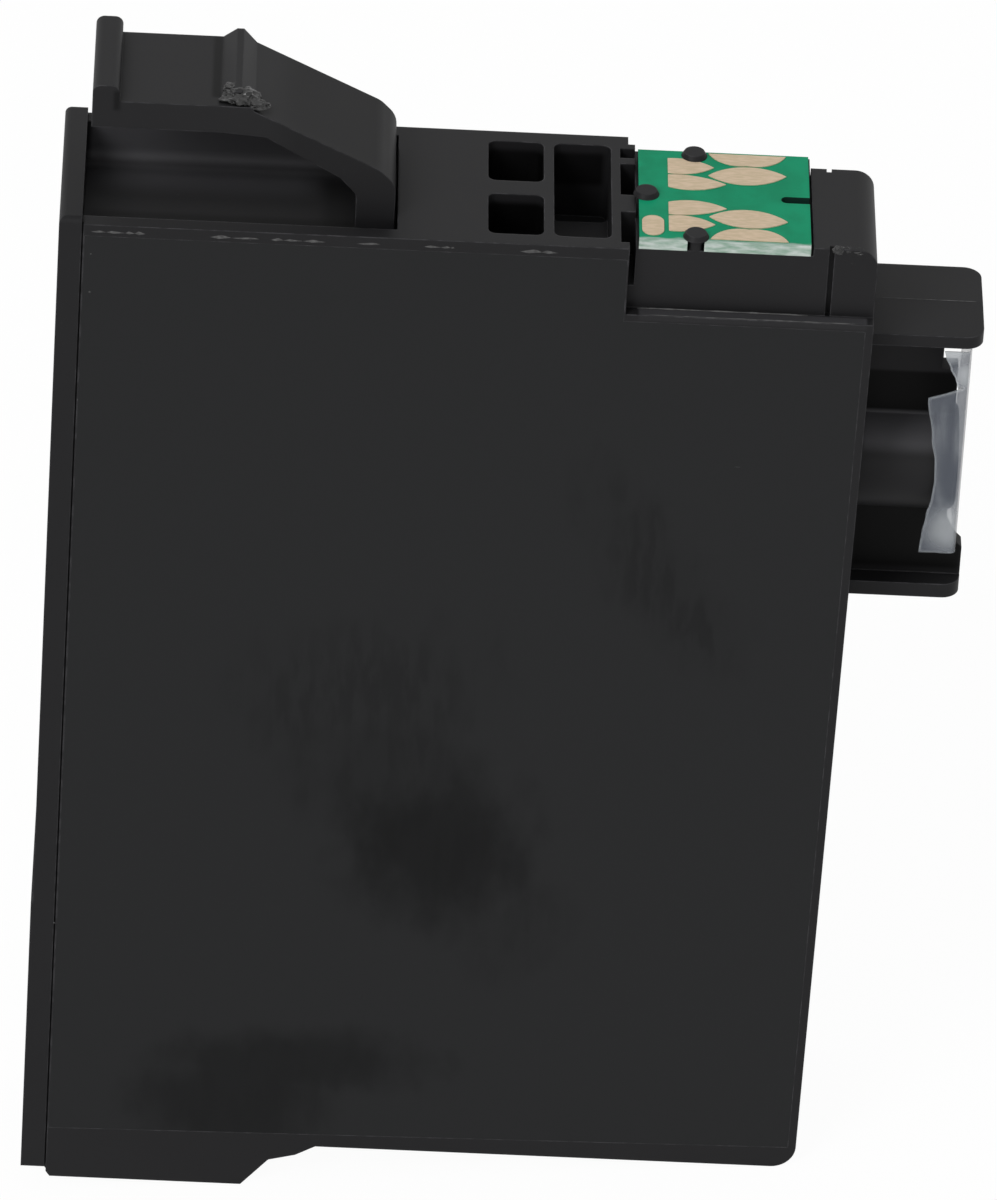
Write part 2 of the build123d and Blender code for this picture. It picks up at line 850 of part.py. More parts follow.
# Seal ring in the outlet, with a funnel towards the needle
with BuildPart() as outlet_seal:
    with BuildSketch(Plane.YZ.offset(seal_start)):
        with Locations((0, port_z)):
            Circle(port_bore - press_gap)
            Circle(seal_hole, mode=Mode.SUBTRACT)
    extrude(amount=seal_length)
    mouth = outlet_seal.edges().filter_by(GeomType.CIRCLE).group_by(Axis.X)[-1].sort_by(SortBy.LENGTH)[0]
    chamfer(mouth, length=seal_hole / 2)

outlet_seal.part.label = "outlet_seal"
export_step(outlet_seal.part, "parts/outlet_seal.step")

# Valve disc with flutes at its rim and a stem for the spring
valve_front = seal_start - running_fit
with BuildPart() as outlet_valve:
    with BuildSketch(Plane.YZ.offset(valve_front - valve_disc)):
        with Locations((0, port_z)):
            Circle(port_bore - running_fit)
            with PolarLocations(port_bore, 3):
                Circle(flute_radius, mode=Mode.SUBTRACT)
    extrude(amount=valve_disc)
    with BuildSketch(Plane.YZ.offset(valve_front - valve_disc)):
        with Locations((0, port_z)):
            Circle(valve_stem_radius)
    extrude(amount=-valve_stem)

outlet_valve.part.label = "outlet_valve"
export_step(outlet_valve.part, "parts/outlet_valve.step")

# Closing spring between the port's floor and the valve disc
spring_start = port_back + port_floor + wire_radius + running_fit
spring_length = valve_front - valve_disc - wire_radius - running_fit - spring_start
spring_base = Plane(origin=(spring_start, 0, port_z), z_dir=(1, 0, 0))
with BuildPart() as outlet_spring:
    add(coil(spring_base, outlet_coil_radius, spring_length, outlet_coils))

outlet_spring.part.label = "outlet_spring"
export_step(outlet_spring.part, "parts/outlet_spring.step")

# Filter screen over the port's feed hole
with BuildPart() as outlet_screen:
    with BuildSketch(Plane.YZ.offset(port_back)):
        with Locations((0, port_z)):
            Circle(screen_radius)
    extrude(amount=-screen_thickness)

outlet_screen.part.label = "outlet_screen"
export_step(outlet_screen.part, "parts/outlet_screen.step")

# Peel film: flat over port and webs, folded back along the near side
rest_x = port_end + peel_inset
peel_bottom = port_z - peel_drop
peel_top = back_edge + front_guide_height - guide_thickness - peel_gap
with BuildPart() as outlet_film:
    with BuildSketch(Plane.XY.offset(peel_bottom)):
        with BuildLine():
            FilletPolyline(
                (rest_x, peel_half_width),
                (rest_x, -peel_near),
                (rest_x - peel_flap, -peel_near - peel_flap_lean),
                radius=peel_round,
            )
        trace(line_width=peel_thickness)
    extrude(amount=peel_top - peel_bottom)
    # The folded flap ends lower, with a slanted edge
    flap_start = rest_x - peel_thickness
    flap_top = port_z + peel_flap_top
    with BuildSketch(Plane.XZ.offset(port_radius)):
        with BuildLine():
            Polyline(
                (flap_start, peel_top + seam),
                (flap_start, flap_top),
                (flap_start - peel_flap, flap_top - peel_flap_slant),
                (flap_start - peel_flap, peel_top + seam),
                close=True,
            )
        make_face()
    extrude(amount=peel_half_width, mode=Mode.SUBTRACT)

outlet_film.part.label = "outlet_film"
export_step(outlet_film.part, "parts/outlet_film.step")

# Regulator membrane: a thin sheet with a bead that rests on the ledge
bead_depth = rib_bottom + regulator_ledge_height
sheet_depth = bead_depth + (membrane_bead - membrane_thickness) / 2
with BuildPart() as regulator_membrane:
    with BuildSketch(side_plane(bead_depth)):
        with Locations((regulator_x, regulator_z)):
            Circle(regulator_radius - press_gap)
            Circle(regulator_radius - regulator_ledge, mode=Mode.SUBTRACT)
    extrude(amount=-membrane_bead)
    with BuildSketch(side_plane(sheet_depth)):
        with Locations((regulator_x, regulator_z)):
            Circle(regulator_radius - regulator_ledge)
    extrude(amount=-membrane_thickness)

regulator_membrane.part.label = "regulator_membrane"
export_step(regulator_membrane.part, "parts/regulator_membrane.step")

# Spring between the near wall and the membrane's sheet
lift = wire_radius + running_fit
coil_start = (regulator_x, near_side + rib_bottom + lift, regulator_z)
coil_base = Plane(origin=coil_start, z_dir=(0, 1, 0))
coil_length = sheet_depth - rib_bottom - 2 * lift
with BuildPart() as regulator_spring:
    add(coil(coil_base, regulator_coil_radius, coil_length, regulator_coils))

regulator_spring.part.label = "regulator_spring"
export_step(regulator_spring.part, "parts/regulator_spring.step")

# Cover pressed in over the membrane's bead
with BuildPart() as regulator_cover:
    with BuildSketch(side_plane(bead_depth + membrane_bead)):
        with Locations((regulator_x, regulator_z)):
            Circle(regulator_radius - press_gap)
            with PolarLocations(regulator_radius / 2, 3):
                Circle(regulator_hole, mode=Mode.SUBTRACT)
    extrude(amount=-regulator_cover_thickness)

regulator_cover.part.label = "regulator_cover"
export_step(regulator_cover.part, "parts/regulator_cover.step")

# Breathing membrane over the vent well
with BuildPart() as vent_membrane:
    with BuildSketch(side_plane(rib_bottom + vent_ring_height)):
        with Locations((vent_x, vent_z)):
            Circle(vent_radius + rib / 2)
    extrude(amount=-2 * film_thickness)

vent_membrane.part.label = "vent_membrane"
export_step(vent_membrane.part, "parts/vent_membrane.step")

# Fill plug in the back wall, and the film over it
with BuildPart() as fill_plug:
    with BuildSketch(Plane.XY.offset(back_edge)):
        with Locations((top_end + fill_place, 0)):
            Circle(fill_radius - press_gap)
    extrude(amount=back_wall + fill_plug_lead)
    chamfer(fill_plug.edges().sort_by(Axis.Z)[-1], length=0.75 * fill_plug_lead)

fill_plug.part.label = "fill_plug"
export_step(fill_plug.part, "parts/fill_plug.step")

with BuildPart() as fill_film:
    with BuildSketch(Plane.XY.offset(back_edge)):
        with Locations((top_end + fill_place, 0)):
            RectangleRounded(fill_film_length, fill_film_width, pocket_radius)
    extrude(amount=-film_thickness)

fill_film.part.label = "fill_film"
export_step(fill_film.part, "parts/fill_film.step")

# Film over the vent port, lying on the tapered outlet wall
wall_run = outlet_edge(cover_height) - outlet_edge(0)
wall_plane = Plane(
    origin=(outlet_edge(vent_port_height), 0, back_edge + vent_port_height),
    x_dir=(0, 1, 0),
    z_dir=(cover_height, 0, -wall_run),
)
with BuildPart() as vent_film:
    with BuildSketch(wall_plane):
        RectangleRounded(vent_film_size, vent_film_size, pocket_radius)
    extrude(amount=film_thickness)

vent_film.part.label = "vent_film"
export_step(vent_film.part, "parts/vent_film.step")
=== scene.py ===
import math
import random

import bmesh
import bpy
from mathutils import Matrix, Vector, noise


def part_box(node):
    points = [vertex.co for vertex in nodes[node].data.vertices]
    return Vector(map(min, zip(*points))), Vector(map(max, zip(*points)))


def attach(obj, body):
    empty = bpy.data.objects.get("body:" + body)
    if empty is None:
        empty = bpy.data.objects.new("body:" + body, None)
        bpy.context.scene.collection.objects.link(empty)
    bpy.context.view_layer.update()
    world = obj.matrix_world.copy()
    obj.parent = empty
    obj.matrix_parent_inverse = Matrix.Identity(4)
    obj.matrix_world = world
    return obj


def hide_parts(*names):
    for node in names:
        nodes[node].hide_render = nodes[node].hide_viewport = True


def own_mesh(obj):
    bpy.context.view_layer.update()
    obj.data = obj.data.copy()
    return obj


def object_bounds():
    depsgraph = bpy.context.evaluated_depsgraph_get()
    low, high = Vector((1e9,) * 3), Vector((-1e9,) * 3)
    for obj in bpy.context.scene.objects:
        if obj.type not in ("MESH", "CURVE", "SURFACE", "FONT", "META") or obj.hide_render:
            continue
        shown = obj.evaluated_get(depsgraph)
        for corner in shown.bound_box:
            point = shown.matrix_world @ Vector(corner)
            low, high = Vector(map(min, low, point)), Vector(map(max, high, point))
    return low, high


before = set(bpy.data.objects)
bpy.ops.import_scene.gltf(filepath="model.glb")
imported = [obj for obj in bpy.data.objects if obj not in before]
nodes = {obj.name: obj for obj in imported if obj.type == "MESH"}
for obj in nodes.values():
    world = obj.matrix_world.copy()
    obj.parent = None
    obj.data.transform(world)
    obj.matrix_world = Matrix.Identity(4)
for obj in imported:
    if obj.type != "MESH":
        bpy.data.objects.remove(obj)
cadLow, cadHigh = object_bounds()
mm = 0.001
print("frame loaded:", len(nodes), "nodes")


# Shader maths written as Python expressions
class Value:
    def __init__(self, finish, socket):
        self.finish = finish
        self.socket = socket

    def maths(self, operation, first, second=None):
        sockets = {0: first} if second is None else {0: first, 1: second}
        return self.finish.add("Math", {"operation": operation}, sockets, 0)

    def __add__(self, other):
        return self.maths("ADD", self, other)

    def __radd__(self, other):
        return self.maths("ADD", other, self)

    def __sub__(self, other):
        return self.maths("SUBTRACT", self, other)

    def __rsub__(self, other):
        return self.maths("SUBTRACT", other, self)

    def __mul__(self, other):
        return self.maths("MULTIPLY", self, other)

    def __rmul__(self, other):
        return self.maths("MULTIPLY", other, self)

    def __truediv__(self, other):
        return self.maths("DIVIDE", self, other)

    def root(self):
        return self.maths("SQRT", self)

    def size(self):
        return self.maths("ABSOLUTE", self)

    def larger(self, other):
        return self.maths("MAXIMUM", self, other)


# One material: fixed values on the shader's own sockets, nodes for the rest
class Finish:
    def __init__(self, name, fixed):
        self.material = bpy.data.materials.new(name)
        self.material.use_nodes = True
        self.tree = self.material.node_tree
        self.shader = self.tree.nodes["Principled BSDF"]
        for socket, value in fixed.items():
            self.shader.inputs[socket].default_value = value

    def add(self, kind, settings, sockets, output):
        node = self.tree.nodes.new("ShaderNode" + kind)
        for name, value in settings.items():
            setattr(node, name, value)
        for name, value in sockets.items():
            self.put(node.inputs[name], value)
        return Value(self, node.outputs[output])

    def put(self, socket, value):
        if isinstance(value, Value):
            self.tree.links.new(value.socket, socket)
        else:
            socket.default_value = value

    def feed(self, **sockets):
        for name, value in sockets.items():
            self.put(self.shader.inputs[name.replace("_", " ")], value)

    def place(self, stretch=(1, 1, 1)):  # position in millimetres, stretched
        spot = self.add("TexCoord", {}, {}, "Object")
        factor = tuple(part / mm for part in stretch)
        return self.add("VectorMath", {"operation": "MULTIPLY"}, {0: spot, 1: factor}, 0)

    def along(self, axis):
        return self.add("SeparateXYZ", {}, {0: self.place()}, axis)

    def noise(self, scale, detail, stretch=(1, 1, 1)):
        sockets = {"Vector": self.place(stretch), "Scale": scale, "Detail": detail}
        return self.add("TexNoise", {}, sockets, "Fac")

    def ease(self, low, high, value):
        sockets = {"Value": value, "From Min": low, "From Max": high}
        return self.add("MapRange", {"interpolation_type": "SMOOTHSTEP"}, sockets, "Result")

    def mix(self, factor, first, second):
        sockets = {0: factor, 6: first, 7: second}
        return self.add("Mix", {"data_type": "RGBA"}, sockets, 2)

    def facing(self, axis):
        normal = self.add("NewGeometry", {}, {}, "Normal")
        return self.add("SeparateXYZ", {}, {0: normal}, axis)

    def rounded(self, radius):  # normal with every edge eased by a radius
        return self.add("Bevel", {"samples": 6}, {"Radius": radius}, "Normal")

    def edges(self, radius, low, high):
        flat = self.add("NewGeometry", {}, {}, "Normal")
        sockets = {0: self.rounded(radius), 1: flat}
        same = self.add("VectorMath", {"operation": "DOT_PRODUCT"}, sockets, "Value")
        return self.ease(low, high, 1 - same)

    def near(self, spot, radius):  # 1 at a spot in millimetres, 0 past the radius
        sockets = {0: self.place(), 1: spot}
        distance = self.add("VectorMath", {"operation": "DISTANCE"}, sockets, "Value")
        return 1 - self.ease(0.2 * radius, radius, distance)

    def within(self, low, high, soft):  # 1 inside a box in millimetres, 0 outside
        inside = None
        for axis in range(3):
            centre, half = (low[axis] + high[axis]) / 2, (high[axis] - low[axis]) / 2
            off = (self.along(axis) - centre).size()
            part = 1 - self.ease(half - soft, half + soft, off)
            inside = part if inside is None else inside * part
        return inside

    def openness(self, reach):
        return self.add("AmbientOcclusion", {"samples": 4}, {"Distance": reach}, "AO")

    def bump(self, height, distance, strength, radius):
        sockets = {"Height": height, "Distance": distance, "Strength": strength}
        sockets["Normal"] = self.rounded(radius)
        return self.add("Bump", {}, sockets, 0)


def grey(level, tint=(1, 1, 1)):
    return (level * tint[0], level * tint[1], level * tint[2], 1)


# Moulded plastic: fine grain, cloudy gloss, painted highlights along the edges broken up like wear,
# specks of dust, painted shade in corners and in listed boxes, painted light in other listed boxes
mouldedPlastic = {
    "tint": (0.99, 0.98, 1.05),
    "dark": 0.0125,
    # paler grey laid along the edges as a painted highlight
    "edgeHighlight": 0.07,
    "edgeBreakScale": 1.3,
    "dust": 0.1,
    "speckScale": 2.6,
    "speckShare": 0.35,
    # paler tone used for painted light
    "litTone": 0.09,
    # near-black tone used for painted shade
    "paintedShade": 0.0012,
    # reach and share of the painted shade in corners
    "cornerReach": 0.7 * mm,
    "cornerShadeShare": 0.65,
    "edgeRadius": 0.14 * mm,
    "cloudScale": 0.16,
    "grainScale": 9.0,
    "grainDepth": 0.004 * mm,
    "roughness": 0.42,
    "pitRadius": 0.3,
    "pitShade": 0.004,
    "pitDepth": 6,  # in grain depths
}
caseShadeBoxes = [  # painted shade, dark boxes round the port, in the pockets, on the bay's floor: corners, softness, share
    ((20.9, -3.0, 55.1), (27.0, 3.0, 57.9), 0.15, 1.0),
    ((20.9, -3.6, 43.9), (27.6, 3.6, 48.5), 0.3, 1.0),
    ((-3.9, -5.35, 66.3), (4.7, 5.35, 68.5), 0.25, 1.0),
    ((-25.8, -1.8, 65.8), (-9.9, -0.3, 66.8), 0.4, 0.55),
    ((-11.9, -1.8, 65.8), (-9.9, 4.2, 66.8), 0.6, 0.6),
]
caseLitBoxes = [  # painted light, paler boxes on the bay's far wall and floor, the ledge, the slot's shelf, the port: as above
    ((-25.9, 5.1, 66.3), (-10.5, 5.7, 69.0), 0.2, 0.5),
    ((-25.6, 2.6, 66.0), (-12.5, 5.0, 67.0), 1.3, 0.5),
    ((6.9, -6.3, 64.2), (20.4, -5.6, 64.75), 0.1, 0.4),
    ((1.2, -1.5, 64.8), (4.7, 2.4, 65.4), 0.3, 0.35),
    ((20.9, -3.6, 53.6), (26.9, 1.4, 55.2), 0.4, 0.6),
]
leverPits = [(-11.76, -1.0, 75.92), (-9.17, -1.0, 74.75), (-12.9, 1.6, 76.4)]
leverShadeBoxes = [  # painted shade, dark boxes beside the catch and the lip, at the gate scar, round the leg's foot, over the arm
    ((-18.85, -3.0, 75.6), (-18.3, 4.7, 76.6), 0.16, 0.7),
    ((-24.6, -4.1, 75.6), (-24.2, 4.7, 76.9), 0.16, 0.7),
    ((-16.4, -3.6, 75.4), (-15.3, -2.2, 76.3), 0.3, 0.7),
    ((-10.6, -5.4, 65.8), (-7.4, 5.4, 67.6), 0.5, 0.6),
    ((-14.6, -4.2, 70.6), (-7.0, 5.4, 76.2), 1.2, 0.35),
]


def makeMoulded(name, settings, gloss, shadeBoxes=(), litBoxes=(), pits=()):
    finish = Finish(name, {"Specular IOR Level": 0.09, "Coat Roughness": 0.4, "Coat IOR": 1.45})
    tint = settings["tint"]
    cloud = finish.noise(settings["cloudScale"], 4)
    grain = finish.noise(settings["grainScale"], 4)
    # painted highlight: paler colour along every convex and concave edge, in a ragged pattern
    ragged = finish.ease(0.4, 0.65, finish.noise(settings["edgeBreakScale"], 5))
    edgeHighlight = finish.edges(settings["edgeRadius"], 0.015, 0.2) * (0.25 + 0.75 * ragged)
    patch = finish.ease(0.5, 0.62, finish.noise(0.3, 2))
    speck = finish.ease(0.74, 0.8, finish.noise(settings["speckScale"], 2)) * patch
    colour = finish.mix(edgeHighlight, grey(settings["dark"], tint), grey(settings["edgeHighlight"], tint))
    colour = finish.mix(settings["speckShare"] * speck, colour, grey(settings["dust"], tint))
    # painted shade: colour darkened towards the near-black tone in corners, from ambient occlusion
    corner = finish.ease(0.2, 0.65, 1 - finish.openness(settings["cornerReach"]))
    colour = finish.mix(settings["cornerShadeShare"] * corner, colour, grey(settings["paintedShade"]))
    height, coat = grain, gloss * (0.5 + cloud)
    # painted light: colour lightened inside each box, unevenly by the cloud noise
    for low, high, soft, share in litBoxes:
        litShare = share * finish.within(low, high, soft) * (0.75 + 0.5 * cloud)
        colour = finish.mix(litShare, colour, grey(settings["litTone"], tint))
    for pit in pits:
        # painted shade: each dimple darkened as well as sunk by the bump
        spot = finish.near(pit, settings["pitRadius"])
        colour = finish.mix(0.6 * spot, colour, grey(settings["pitShade"]))
        height = height - settings["pitDepth"] * spot
    # painted shade: colour darkened and coat taken away inside each box
    for low, high, soft, share in shadeBoxes:
        paintedShade = share * finish.within(low, high, soft)
        colour = finish.mix(paintedShade, colour, grey(settings["paintedShade"]))
        coat = coat * (1 - paintedShade)
    finish.feed(
        Base_Color=colour,
        Roughness=settings["roughness"] + 0.14 * cloud + 0.06 * grain,
        Coat_Weight=coat,
        Normal=finish.bump(height, settings["grainDepth"], 0.6, settings["edgeRadius"]),
    )
    return finish.material


# Film on the near side: smooth, with dull black smudges and a few pale flecks
nearFilm = {
    "tint": (0.97, 1.0, 1.05),
    "base": 0.0136,
    "smudge": 0.0062,
    "fleck": 0.05,
    "fleckShare": 0.4,
    "coat": 0.08,
    "roughness": 0.46,
    "smudges": [  # centre x and z, half width and height, turn in degrees, depth, share of scratches
        (-3.2, 25.8, 6.4, 6.2, -25, 1.0, 0.1),
        (-6.0, 30.5, 7.5, 5.5, -25, 0.55, 0.4),
        (-7.8, 36.4, 8.6, 6.4, 0, 0.42, 0.8),
        (2.2, 20.2, 3.0, 4.4, -30, 0.4, 0.6),
        (9.2, 46.4, 3.0, 8.8, 33, 0.5, 0.7),
        (-11.5, 9.4, 9.4, 2.6, 3, 0.8, 0.1),
        (-15.0, 6.2, 7.0, 4.6, 0, 0.8, 0.1),
    ],
}


def makeNearFilm(name, settings):
    finish = Finish(name, {"Specular IOR Level": 0.09, "Coat Roughness": 0.34, "Coat IOR": 1.45})
    x, z = finish.along("X"), finish.along("Z")
    ragged = finish.noise(0.4, 6, (1.4, 1, 0.8)) - 0.5
    scratches = finish.ease(0.42, 0.64, finish.noise(0.55, 5, (2.2, 1, 0.55)))
    smudge = None
    for centreX, centreZ, halfWidth, halfHeight, turn, depth, scratched in settings["smudges"]:
        cos, sin = math.cos(math.radians(turn)), math.sin(math.radians(turn))
        across = ((x - centreX) * cos + (z - centreZ) * sin) / halfWidth
        up = ((z - centreZ) * cos - (x - centreX) * sin) / halfHeight
        reach = (across * across + up * up).root() + 1.1 * ragged
        spot = depth * (1 - finish.ease(0.35, 1.25, reach)) * (1 - scratched * (1 - scratches))
        smudge = spot if smudge is None else smudge.larger(spot)
    cloud = finish.noise(0.09, 3)
    fleck = finish.ease(0.8, 0.84, finish.noise(1.9, 2, (0.8, 1, 1.8)))
    base, smudged = grey(settings["base"], settings["tint"]), grey(settings["smudge"], settings["tint"])
    clean = finish.mix(settings["fleckShare"] * fleck, base, grey(settings["fleck"]))
    finish.feed(
        Base_Color=finish.mix(smudge, clean, smudged),
        Roughness=settings["roughness"] + 0.06 * cloud,
        Coat_Weight=settings["coat"] * (1 - 0.9 * smudge),
        Normal=finish.bump(finish.noise(7, 4), 0.0015 * mm, 0.5, 0.05 * mm),
    )
    return finish.material


# Contact board: green lacquer, near edge cut and chipped to a silvery white, the other sides painted
# dark as shade
boardFinish = {
    "green": (0.006, 0.275, 0.135, 1),
    "shade": (0.005, 0.225, 0.108, 1),
    "cut": (0.2, 0.31, 0.24, 1),
    "silver": (0.5, 0.55, 0.52, 1),
    "inner": (0.008, 0.03, 0.022, 1),
    "nearEdge": -5.4,
}


def makeBoard(name, settings):
    finish = Finish(name, {"Specular IOR Level": 0.04, "Coat Roughness": 0.25})
    top = finish.ease(0.4, 0.7, finish.facing("Z"))
    chips = finish.noise(2.2, 5, (0.45, 1, 1.8))
    edge, inward = settings["nearEdge"], finish.along("Y")
    near = 1 - finish.ease(edge - 0.05, edge + 0.05, inward)
    lip = 1 - finish.ease(edge - 0.1, edge + 0.1, inward + 0.5 * (chips - 0.5))
    cloud = finish.noise(0.5, 4)
    lacquer = finish.mix(finish.ease(0.35, 0.7, cloud), settings["green"], settings["shade"])
    lacquer = finish.mix(0.55 * lip, lacquer, settings["silver"])
    cut = finish.mix(finish.ease(0.25, 0.75, chips), settings["cut"], settings["silver"])
    # painted shade: sides other than the near edge take the dark inner tone
    side = finish.mix(near, settings["inner"], cut)
    finish.feed(
        Base_Color=finish.mix(top, side, lacquer),
        Roughness=0.4 + 0.12 * finish.noise(6, 3),
        Coat_Weight=0.05 * top,
        Normal=finish.bump(chips * near + 0.15 * cloud, 0.05 * mm, 0.5, 0.04 * mm),
    )
    return finish.material


# Plated pads: matt beige gold with faint wipe marks
padFinish = {"plate": (0.54, 0.43, 0.29, 1), "wiped": (0.64, 0.5, 0.36, 1)}


def makePlated(name, settings):
    finish = Finish(name, {"Specular IOR Level": 0.3})
    wipe = finish.noise(3.2, 4, (0.5, 2.2, 1))
    cloud = finish.noise(0.7, 3)
    finish.feed(
        Base_Color=finish.mix(finish.ease(0.35, 0.7, wipe), settings["plate"], settings["wiped"]),
        Metallic=0.15 + 0.1 * cloud,
        Roughness=0.5 + 0.14 * wipe,
        Normal=finish.bump(wipe, 0.004 * mm, 0.6, 0.03 * mm),
    )
    return finish.material


# Any other part: a base colour, a second one in patches, and a fine surface
def makePlain(name, first, second, scale, roughness, metallic):
    finish = Finish(name, {"Specular IOR Level": 0.4})
    patch = finish.ease(0.35, 0.65, finish.noise(scale, 4))
    finish.feed(
        Base_Color=finish.mix(patch, first, second),
        Metallic=metallic,
        Roughness=roughness + 0.12 * patch,
        Normal=finish.bump(patch, 0.005 * mm, 0.5, 0.05 * mm),
    )
    return finish.material


# Weld film: bluish, whiter along its folds and edges
weldFilm = {"base": (0.35, 0.38, 0.4, 1), "white": (0.75, 0.79, 0.82, 1), "cover": 0.35}


def makeClear(name, settings):
    finish = Finish(name, {"Specular IOR Level": 0.5, "IOR": 1.45})
    crease = finish.noise(0.45, 4, (1, 1, 0.35))
    white = finish.edges(0.25 * mm, 0.02, 0.4)
    finish.feed(
        Base_Color=finish.mix(finish.ease(0.4, 0.75, crease), settings["base"], settings["white"]),
        Alpha=settings["cover"] + 0.3 * finish.ease(0.4, 0.8, crease) + 0.4 * white,
        Roughness=0.22 + 0.2 * crease,
        Normal=finish.bump(crease, 0.08 * mm, 0.6, 0.05 * mm),
    )
    return finish.material


# Peel film: smoky grey-blue, milky in random creases, painted sheen where it is bent, painted
# highlights along its cut edges
peelFilm = {
    "base": (0.13, 0.145, 0.175, 1),
    "milkyAndSheen": (0.62, 0.65, 0.66, 1),
    "cover": 0.46,
    "milkyCover": 0.3,
    # spots of painted sheen: centre and radius
    "sheenSpots": [((26.6, -3.9, 48.9), 2.4), ((25.7, -3.8, 61.4), 1.2), ((26.8, -3.6, 59.8), 1.3)],
    "flatPart": (26.7, 26.9),  # thinner looking from here on
    "flatCover": 0.34,
}


def makePeelFilm(name, settings):
    finish = Finish(name, {"Specular IOR Level": 0.35, "IOR": 1.45})
    crease = finish.noise(0.6, 4, (1, 1, 0.3))
    # painted highlight along the cut edges and painted sheen round the bends, as paler colour and more
    # cover
    milkyAndSheen = 0.8 * finish.edges(0.2 * mm, 0.005, 0.12)
    for spot, radius in settings["sheenSpots"]:
        milkyAndSheen = milkyAndSheen.larger(0.5 * finish.near(spot, radius) * (0.7 + 0.6 * crease))
    flat = finish.ease(*settings["flatPart"], finish.along("X"))
    milkyAndSheen = milkyAndSheen.larger(0.3 * finish.ease(0.5, 0.75, crease))
    thinner = (settings["cover"] - settings["flatCover"]) * flat
    finish.feed(
        Base_Color=finish.mix(milkyAndSheen, settings["base"], settings["milkyAndSheen"]),
        Alpha=settings["cover"] + settings["milkyCover"] * milkyAndSheen - thinner,
        Roughness=0.3 + 0.15 * crease,
        Normal=finish.bump(crease, 0.05 * mm, 0.5, 0.05 * mm),
    )
    return finish.material


finishes = {
    "casePlastic": makeMoulded("casePlastic", mouldedPlastic, 0.08, caseShadeBoxes, caseLitBoxes),
    "coverPlastic": makeMoulded("coverPlastic", mouldedPlastic, 0.07),
    "leverPlastic": makeMoulded("leverPlastic", mouldedPlastic, 0.09, leverShadeBoxes, pits=leverPits),
    "nearFilm": makeNearFilm("nearFilm", nearFilm),
    "board": makeBoard("board", boardFinish),
    "plated": makePlated("plated", padFinish),
    "resin": makePlain("resin", grey(0.012), grey(0.02), 1.5, 0.35, 0.0),
    "rubber": makePlain("rubber", grey(0.02), grey(0.035), 2.0, 0.62, 0.0),
    "whitePlastic": makePlain("whitePlastic", grey(0.62), grey(0.7), 0.8, 0.4, 0.0),
    "wire": makePlain("wire", grey(0.5), grey(0.62), 4.0, 0.25, 1.0),
    "membrane": makePlain("membrane", grey(0.72), grey(0.8), 5.0, 0.75, 0.0),
    "weldFilm": makeClear("weldFilm", weldFilm),
    "peelFilm": makePeelFilm("peelFilm", peelFilm),
    # flash and bead: pale greys; on the parting line and the ledge beads the paleness is a painted
    # highlight
    "flash": makePlain("flash", grey(0.03), grey(0.075), 3.0, 0.4, 0.0),
    "bead": makePlain("bead", grey(0.03), grey(0.07), 2.0, 0.35, 0.0),
    # torn: near-black, with paler patches painted as glints
    "torn": makePlain("torn", grey(0.007), grey(0.03), 2.6, 0.24, 0.0),
}
print("finishes made:", len(finishes))

dressed = {
    "tank_case": "casePlastic",
    "side_cover": "coverPlastic",
    "latch_lever": "leverPlastic",
    "side_film": "nearFilm",
    "chamber_film": "weldFilm",
    "chip_board": "board",
    "contact_pads": "plated",
    "memory_chip": "resin",
    "outlet_seal": "rubber",
    "outlet_valve": "whitePlastic",
    "outlet_screen": "wire",
    "regulator_membrane": "rubber",
    "regulator_spring": "wire",
    "regulator_cover": "whitePlastic",
    "vent_membrane": "membrane",
    "fill_plug": "whitePlastic",
    "fill_film": "weldFilm",
    "vent_film": "weldFilm",
}
for name, finish in dressed.items():
    mesh = nodes[name].data
    mesh.materials.clear()
    mesh.materials.append(finishes[finish])
print("nodes dressed:", len(dressed))


def newPiece(name, mesh, finish, body):
    piece = bpy.data.objects.new(name, mesh)
    bpy.context.scene.collection.objects.link(piece)
    mesh.materials.append(finishes[finish])
    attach(piece, body)
    return piece


def newMesh(name, shape, smooth=False):  # its faces turned outward
    bmesh.ops.recalc_face_normals(shape, faces=shape.faces)
    mesh = bpy.data.meshes.new(name)
    shape.to_mesh(mesh)
    shape.free()
    if smooth:
        mesh.shade_smooth()
    return mesh


def joinRings(shape, rings):  # a closed tube through rings of points
    for left, right in zip(rings, rings[1:]):
        for k in range(len(left)):
            other = (k + 1) % len(left)
            shape.faces.new((left[k], left[other], right[other], right[k]))
    shape.faces.new(rings[0])
    shape.faces.new(reversed(rings[-1]))


# Peel film over the outlet: flat on the port, folded back along the near side
peelSheet = {
    "flatX": 26.9,  # place of the flat part
    "foldY": -3.53,  # where the fold starts
    "foldRadius": 0.28,
    "flatLength": 7.35,
    "heights": (47.15, 58.85, 61.4),  # lower edge, start of the flap's upper edge, upper edge
    "flapSlope": 0.4,
    "flapEnds": [  # height, distance past the fold's start
        (47.15, 2.32),
        (48.6, 2.24),
        (50.0, 2.08),
        (51.2, 1.82),
        (52.4, 1.74),
        (53.8, 1.8),
        (55.8, 2.1),
        (58.85, 2.5),
    ],
    "stripEnds": [(58.85, 0.8), (59.4, 0.95), (60.3, 1.35), (61.0, 1.65), (61.4, 1.75)],
    "columns": (22, 6, 10),  # across the flat part, the fold and the flap
    "rows": (40, 10),
    "thickness": 0.1 * mm,
    "wave": 0.16,
    "bulge": (0.16, 49.6, 1.3),  # how far out, at what height, half height
    "weld": 0.002 * mm,
}


def eased(points, place):  # smooth curve through points of place and value
    for (start, first), (end, last) in zip(points, points[1:]):
        if place <= end:
            break
    share = min(max((place - start) / (end - start), 0), 1)
    return first + (last - first) * share * share * (3 - 2 * share)


